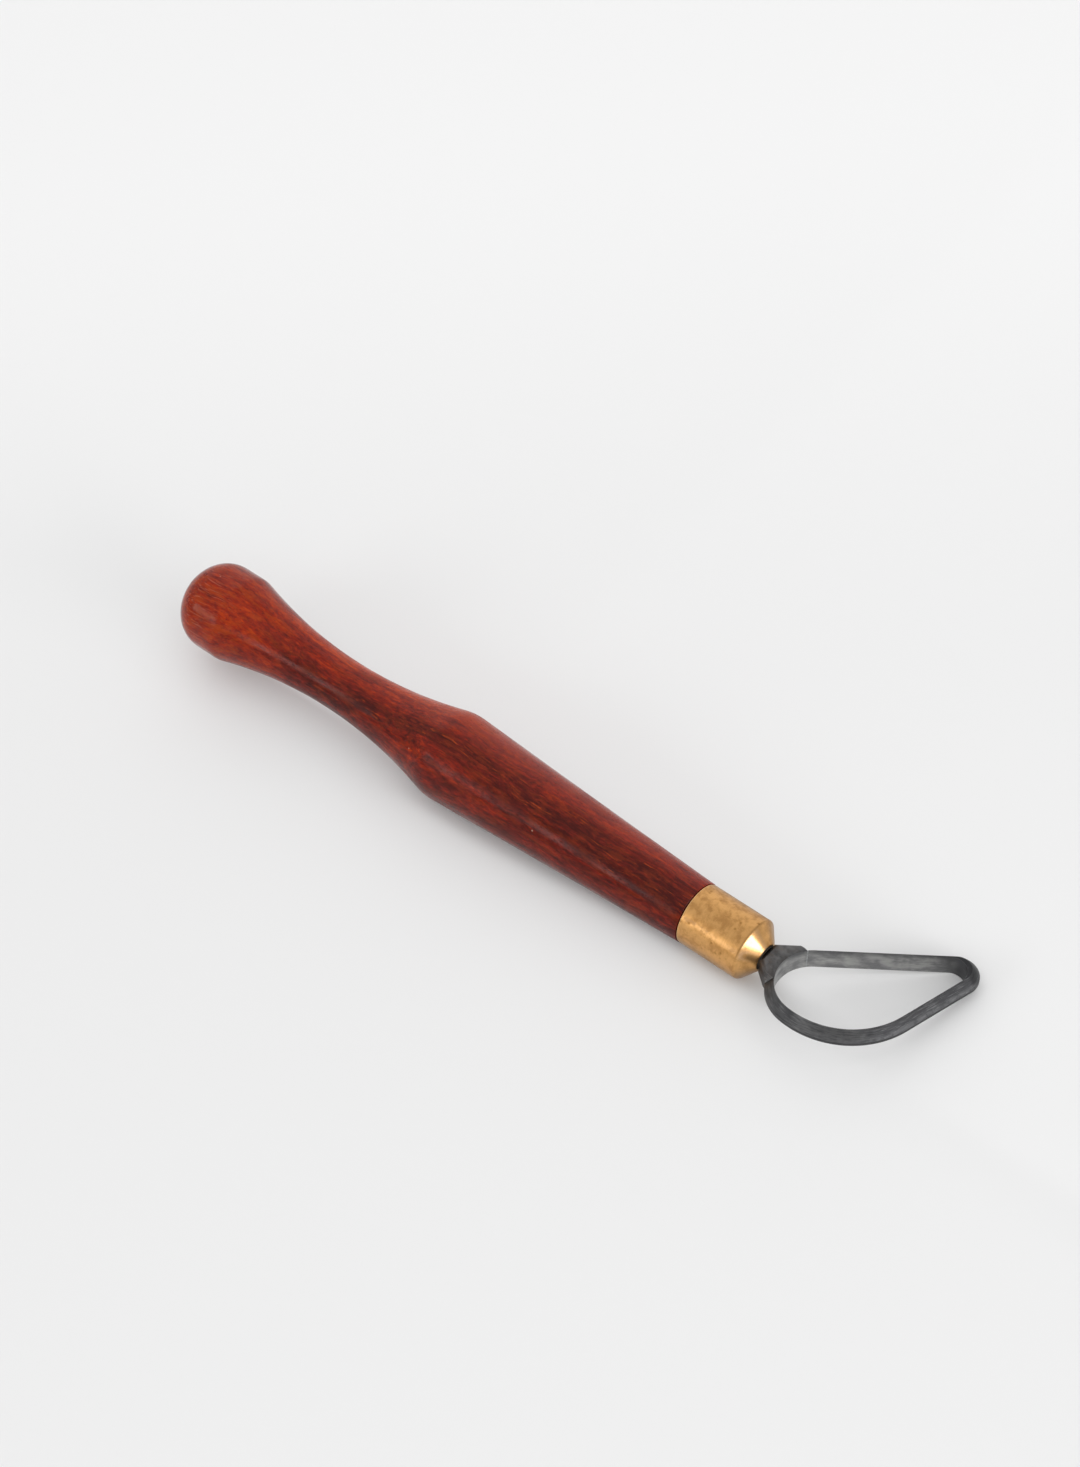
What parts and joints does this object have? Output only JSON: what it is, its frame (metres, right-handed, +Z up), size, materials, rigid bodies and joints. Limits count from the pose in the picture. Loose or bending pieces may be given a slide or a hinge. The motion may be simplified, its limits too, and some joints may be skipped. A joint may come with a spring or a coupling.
{
  "type": "loop trimming tool",
  "caption": "Hand trimming tool for leather-hard clay: a turned hardwood handle, a brass ferrule and a bevelled steel loop brazed to a flared saddle.",
  "frame": {"origin": "middle of the bottom face of the tool's box, on the plane that the knob touches", "axes": "+X runs along the handle's axis towards the loop, +Z is up, square to the loop's flat faces, and the loop's tip leans towards +Y"},
  "size_m": [0.2318, 0.0424, 0.0242],
  "materials": {
    "hardwood": "oiled red-brown hardwood, satin",
    "ferrule_brass": "satin brass, lightly tarnished",
    "shank_steel": "bright drawn rod",
    "adhesive": "cured resin",
    "braze_metal": "dressed braze metal",
    "loop_steel": "ground carbon steel, darkened by heat"
  },
  "bodies": {
    "root": {"handle": "hardwood", "ferrule": "ferrule_brass", "shank": "shank_steel", "shank_adhesive": "adhesive", "shank_braze": "braze_metal", "loop_blade": "loop_steel", "far_seam_braze": "braze_metal", "near_seam_braze": "braze_metal", "saddle": "loop_steel"}
  },
  "joints": []
}
